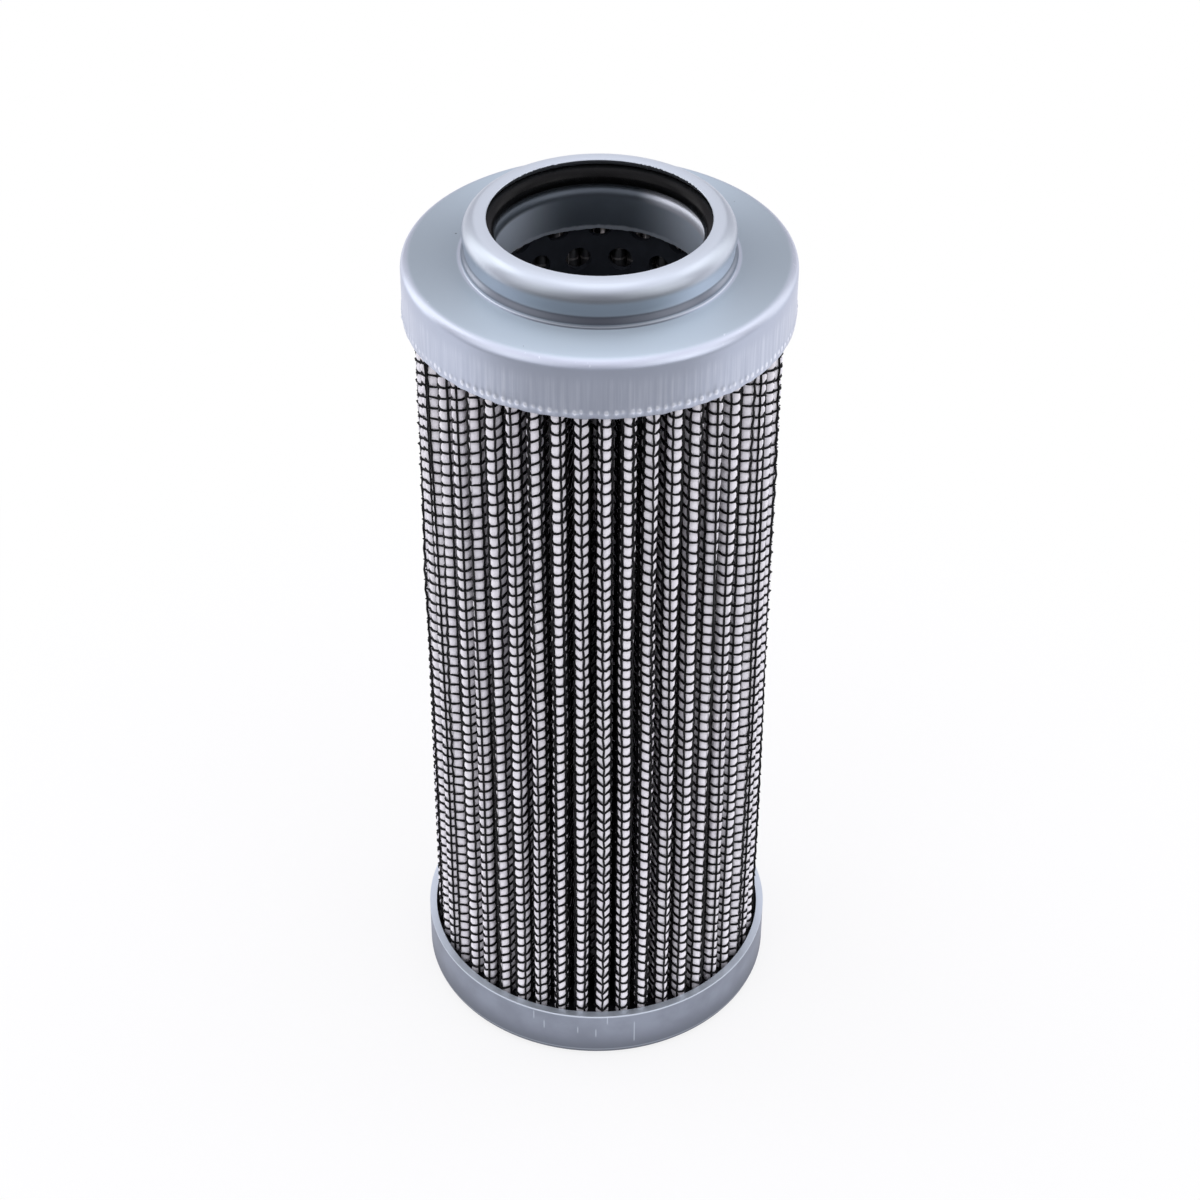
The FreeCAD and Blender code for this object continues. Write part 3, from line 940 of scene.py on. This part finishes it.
def neckWithPaintedLightAndShade(f, on, sideways):
    # painted light and shade: a dark front to the neck, lighter sides and a lighter right side
    wall = f.mix(on["right"], shade(plating["neckLeft"]), shade(plating["neckRight"]))
    wall = f.mix(on["wall"], shade(plating["neckSides"]), wall)
    neck = f.mix(f.spread(sideways, 0.0, plating["neckTurn"]), shade(plating["neck"]), wall)
    # painted shade in the crease at the neck's foot
    paintedCreaseShade = f.mix(f.spread(sideways, 0.0, plating["paintedCreaseShadeTurn"]),
                   shade(plating["paintedCreaseShade"]), shade(plating["paintedCreaseShadeSides"]))
    # painted shade on the lip to the left and right
    lip = f.mix(sideways, shade(plating["lip"]), shade(plating["lip"], plating["lipSidesPaintedShade"]))
    return f.mix(on["lip"], f.mix(on["paintedCreaseShade"], neck, paintedCreaseShade), lip)


def topCapSteel():
    f = finish("topCapSteel")
    place = f.place()
    x, y, z = f.split(place)
    radius = (x * x + y * y) ** 0.5
    sideways = (x / radius) ** 2
    along = f.maths("ARCTAN2", y, x) * (topCap["radius"] * mm)
    on = {name: f.zone(limits, x=x, out=radius, up=z) for name, limits in capZones.items()}
    cloudy = f.noise(place, *plating["cloudNoise"])
    fine = f.noise(place, *plating["fineNoise"])
    lines = f.noise(f.join(along, 0.0, z * plating["drawStretch"]), *plating["lineNoise"])
    patchy = f.noise(f.join(along, 0.0, z * plating["patchStretch"]), *plating["patchNoise"])
    nicks = f.spread(f.noise(place, *plating["nickNoise"]), *plating["nicks"]) * on["bend"]
    drawn = f.spread(lines, *plating["drawSpread"]) * f.spread(patchy, *plating["patches"])
    worn = shade(plating["bright"], plating["worn"])
    dark, light = plating["clouds"]
    steel = f.mix(cloudy, shade(plating["skirt"], dark), shade(plating["skirt"], light))
    # worn metal and a painted highlight on the shoulder's bend
    steel = f.mix(on["bend"] * plating["bendWearAndPaintedHighlight"], steel, worn)
    # painted shade on the flat to the left and right
    flat = f.mix(sideways, shade(plating["flat"]), shade(plating["flat"], plating["flatSidesPaintedShade"]))
    steel = f.mix(on["flat"], steel, flat)
    steel = f.mix(on["neck"], steel, neckWithPaintedLightAndShade(f, on, sideways))
    steel = f.mix(drawn * on["skirt"] * plating["drawLines"], steel, worn)
    # the nips: wear and a painted highlight on each bump; the nicks: wear
    steel = f.mix(on["nips"] * plating["nipWearAndPaintedHighlight"] + nicks * plating["nickWear"], steel, worn)
    for stainX, stainY, size in plating["stains"]:
        away = ((x - stainX * mm) ** 2 + (y - stainY * mm) ** 2) ** 0.5
        stain = f.spread(away, size * mm, size / 2 * mm) * on["flat"]
        steel = f.mix(stain * plating["stainShare"], steel,
                      shade(plating["flat"], plating["stainShade"]))
    metallic = (plating["metallic"] + on["flat"] * (plating["flatMetallic"] - plating["metallic"])
                + on["top"] * (plating["lipMetallic"] - plating["metallic"]))
    rough = (plating["roughness"] + cloudy * plating["cloudRoughness"]
             + on["flat"] * (plating["flatRoughness"] - plating["roughness"]))
    normal = f.bump(fine, *plating["fineBump"])
    normal = f.bump(lines * on["skirt"], *plating["lineBump"], normal)
    return f.surface(Base_Color=steel, Metallic=metallic, Roughness=rough, Normal=normal)


# The bottom cap shows the skirt's plating, duller, and darker as painted shade
cup = {
    # painted shade: the skirt's colour, darker all over the bottom cap
    "clouds": (0.58, 0.70),
    "cloudSpread": (0.3, 0.7),
    # painted shade: darker towards the bottom, near the floor
    "foot": 0.40,
    # on the rim this lighter colour is a painted highlight; in the scratches it is wear
    "worn": 1.1,  # shade of the lip's colour on the rim and in scratches
    "ringWear": 0.3,
    "scratchWear": 0.5,
    "scratchWide": (0.0045, 0.002),  # half widths in radians, where it begins and where it is full
    "scratchEnd": 0.3,
    # degrees to the right of the front, lower and upper end
    "scratches": [(12.8, 2.2, 5.7), (3.8, 5.8, 7.1), (0.0, 3.5, 4.8), (-6.0, 4.1, 5.1),
                  (-17.4, 4.1, 5.4), (-21.0, 5.4, 6.7)],
    "roughness": 0.42,
    "cloudRoughness": 0.08,
    "cloudNoise": (260, 4),
    "fineNoise": (2600, 2),
    "fineBump": (0.08, 0.0001),
}
cupZones = {
    # painted shade towards the bottom
    "foot": [("up", 5.2, 0.6)],
    "ring": [("up", 0.95, 1.05), ("up", 1.25, 1.15)],
    # painted highlight along the rim
    "rim": [("up", 6.85, 7.05)],
}


def bottomCapSteel():
    f = finish("bottomCapSteel")
    place = f.place()
    x, y, z = f.split(place)
    angle = f.maths("ARCTAN2", x, 0 - y)
    on = {name: f.zone(limits, up=z) for name, limits in cupZones.items()}
    cloudy = f.noise(place, *cup["cloudNoise"])
    worn = shade(plating["lip"], cup["worn"])
    dark, light = cup["clouds"]
    # the skirt's colour, darkened as painted shade
    steel = f.mix(f.spread(cloudy, *cup["cloudSpread"]),
                  shade(plating["skirt"], dark), shade(plating["skirt"], light))
    # painted shade, darker towards the bottom
    steel = f.mix(on["foot"], steel, shade(plating["skirt"], cup["foot"]))
    steel = f.mix(on["ring"] * cup["ringWear"], steel, worn)
    end = cup["scratchEnd"]
    for turn, low, high in cup["scratches"]:
        away = ((angle - math.radians(turn)) ** 2) ** 0.5
        length = f.zone([("up", low - end, low + end), ("up", high + end, high - end)], up=z)
        mark = f.spread(away, *cup["scratchWide"]) * length
        steel = f.mix(mark * cup["scratchWear"], steel, worn)
    # painted highlight along the rim
    steel = f.mix(on["rim"], steel, worn)
    return f.surface(Base_Color=steel, Metallic=1.0,
                     Roughness=cup["roughness"] + cloudy * cup["cloudRoughness"],
                     Normal=f.bump(f.noise(place, *cup["fineNoise"]), *cup["fineBump"]))


# The sleeve stands in the neck's shade, and light reaches its sides more than its middle; its
# colours paint this, as painted shade in the middle and painted light on the sides
sleevePlating = {
    "middle": (0.08, 0.10, 0.12),
    "sides": (0.78, 0.88, 0.98),
    "turn": 0.85,
    "cloud": (0.30, 0.35, 0.40),
    "cloudShare": 0.2,
    # painted shade on the flange's left, with a painted highlight on its right
    "flangeLeftPaintedShade": (0.10, 0.12, 0.14),
    "worn": 1.1,  # shade of the lip's colour along the cut edge
    "cutWear": 0.6,
    "cutRagged": 0.4,
    "metallic": 0.6,
    "roughness": 0.40,
    "cloudRoughness": 0.08,
    "cloudNoise": (300, 3),
    "cutNoise": (900, 2),
    "fineNoise": (2600, 2),
    "fineBump": (0.06, 0.0001),
}
sleeveZones = {
    "flange": [("up", 107.9, 108.5)],
    # where the flange's painted highlight on the right begins
    "right": [("x", 4.0, 8.5)],
    "cut": [("ragged", 104.75, 104.45)],
}


def sleeveSteel():
    s = sleevePlating
    f = finish("sleeveSteel")
    place = f.place()
    x, y, z = f.split(place)
    ragged = z + f.noise(place, *s["cutNoise"]) * (s["cutRagged"] * mm)
    on = {name: f.zone(limits, x=x, up=z, ragged=ragged) for name, limits in sleeveZones.items()}
    cloudy = f.noise(place, *s["cloudNoise"])
    # painted shade in the middle, painted light on the sides
    sideways = f.spread(x * x / (x * x + y * y), 0.0, s["turn"])
    steel = f.mix(sideways, shade(s["middle"]), shade(s["sides"]))
    steel = f.mix(cloudy * s["cloudShare"], steel, shade(s["cloud"]))
    # painted highlight on the flange's right side, painted shade on its left
    flange = f.mix(on["right"], shade(s["flangeLeftPaintedShade"]), shade(plating["bright"]))
    steel = f.mix(on["flange"], steel, flange)
    steel = f.mix(on["cut"] * s["cutWear"], steel, shade(plating["lip"], s["worn"]))
    return f.surface(Base_Color=steel, Metallic=s["metallic"],
                     Roughness=s["roughness"] + cloudy * s["cloudRoughness"],
                     Normal=f.bump(f.noise(place, *s["fineNoise"]), *s["fineBump"]))


rubber = {
    "colours": (0.003, 0.005),  # clean, and where dust lies
    "dust": (0.45, 0.8),
    "dustNoise": (900, 3),
    "dustBump": (0.05, 0.0001),
    "roughness": 0.22,
    "dustRoughness": 0.08,
    "specular": 0.12,
}


def sealRubber():
    f = finish("sealRubber")
    dust = f.noise(f.place(), *rubber["dustNoise"])
    clean, dusty = rubber["colours"]
    return f.surface(Base_Color=f.mix(f.spread(dust, *rubber["dust"]), grey(clean), grey(dusty)),
                     Roughness=rubber["roughness"] + dust * rubber["dustRoughness"],
                     Normal=f.bump(dust, *rubber["dustBump"]),
                     Specular_IOR_Level=rubber["specular"])


wirePaint = {
    "dark": (0.004, 0.004, 0.004),
    "light": (0.008, 0.008, 0.0092),
    "patchNoise": (700, 2),
    "roughness": 0.5,
    "patchRoughness": 0.2,
    "specular": 0.2,
}


def wireCoat():
    f = finish("wireCoat")
    patch = f.noise(f.place(), *wirePaint["patchNoise"])
    return f.surface(Base_Color=f.mix(patch, shade(wirePaint["dark"]), shade(wirePaint["light"])),
                     Roughness=wirePaint["roughness"] + patch * wirePaint["patchRoughness"],
                     Specular_IOR_Level=wirePaint["specular"])


fleece = {
    "dark": (0.88555, 0.8722, 0.8989),
    "light": (0.94525, 0.93575, 0.95),
    "clouds": (0.3, 0.7),
    "cloudNoise": (240, 2),
    "fibreNoise": (5200, 3, 0.6),
    "fibreBump": (0.25, 0.00004),
    "roughness": 0.75,
    "specular": 0.3,
}


def whiteFleece():
    f = finish("whiteFleece")
    place = f.place()
    cloudy = f.spread(f.noise(place, *fleece["cloudNoise"]), *fleece["clouds"])
    return f.surface(Base_Color=f.mix(cloudy, shade(fleece["dark"]), shade(fleece["light"])),
                     Roughness=fleece["roughness"], Specular_IOR_Level=fleece["specular"],
                     Normal=f.bump(f.noise(place, *fleece["fibreNoise"]), *fleece["fibreBump"]))


adhesive = {
    "dark": (0.004, 0.004, 0.004),
    "light": (0.0126, 0.0133, 0.0168),
    "speck": 0.35,
    "specks": (0.74, 0.78),
    "lumpNoise": (650, 3),
    "speckNoise": (2100, 1),
    "lumpBump": (0.5, 0.0003),
    "roughness": 0.5,
    "lumpRoughness": 0.3,
    "specular": 0.15,
}


def castAdhesive():
    f = finish("castAdhesive")
    place = f.place()
    lumps = f.noise(place, *adhesive["lumpNoise"])
    speck = f.spread(f.noise(place, *adhesive["speckNoise"]), *adhesive["specks"])
    colour = f.mix(lumps, shade(adhesive["dark"]), shade(adhesive["light"]))
    return f.surface(Base_Color=f.mix(speck, colour, grey(adhesive["speck"])),
                     Roughness=adhesive["roughness"] + lumps * adhesive["lumpRoughness"],
                     Normal=f.bump(lumps, *adhesive["lumpBump"]),
                     Specular_IOR_Level=adhesive["specular"])


corePaint = {
    "dark": (0.0272, 0.03136, 0.0384),
    "light": (0.0442, 0.05096, 0.0624),
    "patchNoise": (500, 3),
    "metallic": 0.3,
    "roughness": 0.4,
    "patchRoughness": 0.2,
}


def coreCoat():
    f = finish("coreCoat")
    patch = f.noise(f.place(), *corePaint["patchNoise"])
    return f.surface(Base_Color=f.mix(patch, shade(corePaint["dark"]), shade(corePaint["light"])),
                     Metallic=corePaint["metallic"],
                     Roughness=corePaint["roughness"] + patch * corePaint["patchRoughness"])


# Wires of the inner mesh lie at the whole numbers of its UV layer, one unit apart
innerWire = {
    "gap": 0.012,
    # painted glint: the wires' colour is lightened to stand in for their sheen, the cross wires
    # less than the upright ones
    "wire": (0.38, 0.36, 0.34),
    "edge": (0.12, 0.07),
    "level": 0.3,  # how much the cross wires show beside the upright ones
    "metallic": 0.8,
    "roughness": 0.35,
    "bump": (0.6, 0.0002),
}


def bareWeave():
    f = finish("bareWeave")
    u, v, _ = f.split(f.place("UV"))
    upright, level = [f.spread(f.maths("PINGPONG", along, 0.5), *innerWire["edge"])
                      for along in (u, v)]
    # painted glints on the upright wires, with the cross wires darker
    wires = f.maths("MAXIMUM", upright, level * innerWire["level"])
    return f.surface(Base_Color=f.mix(wires, grey(innerWire["gap"]), shade(innerWire["wire"])),
                     Metallic=wires * innerWire["metallic"], Roughness=innerWire["roughness"],
                     Normal=f.bump(wires, *innerWire["bump"]))


addCamera()
for lamp in studio["lamps"]:
    addLamp(*lamp)
addSky()
addFloor()
print("camera and studio set")

steps = clothSteps()
wires = weaveCloth(steps)
print("wire cloth woven")
media = foldMedium(steps)
weave = foldWeave()
print("medium folded")
tube = perforateCore()
print("core tube perforated")
cap, collar = drawTopCap(), drawSleeve()
print("cap and sleeve drawn")

coat, white, potted = wireCoat(), whiteFleece(), castAdhesive()
for piece in wires:
    finishPiece(piece, coat, "outer_wire", "outer_mesh")
for piece in media:
    finishPiece(piece, white, "media", "filter_media")
finishPiece(weave, bareWeave(), "inner_wire", "inner_mesh")
finishPiece(tube, coreCoat(), "core_steel", "core_tube")
finishPiece(cap, topCapSteel(), "cap_steel", "top_end_cap")
finishPiece(collar, sleeveSteel(), "sleeve_steel", "neck_sleeve")

nodeFinish = {
    "seal_ring": sealRubber(),
    "top_potting": potted,
    "bottom_potting": potted,
    "bottom_end_cap": bottomCapSteel(),
}
for node, material in nodeFinish.items():
    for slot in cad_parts[node].material_slots:
        slot.material = material
print("finishes set")

bpy.context.scene.view_settings.view_transform = "Standard"
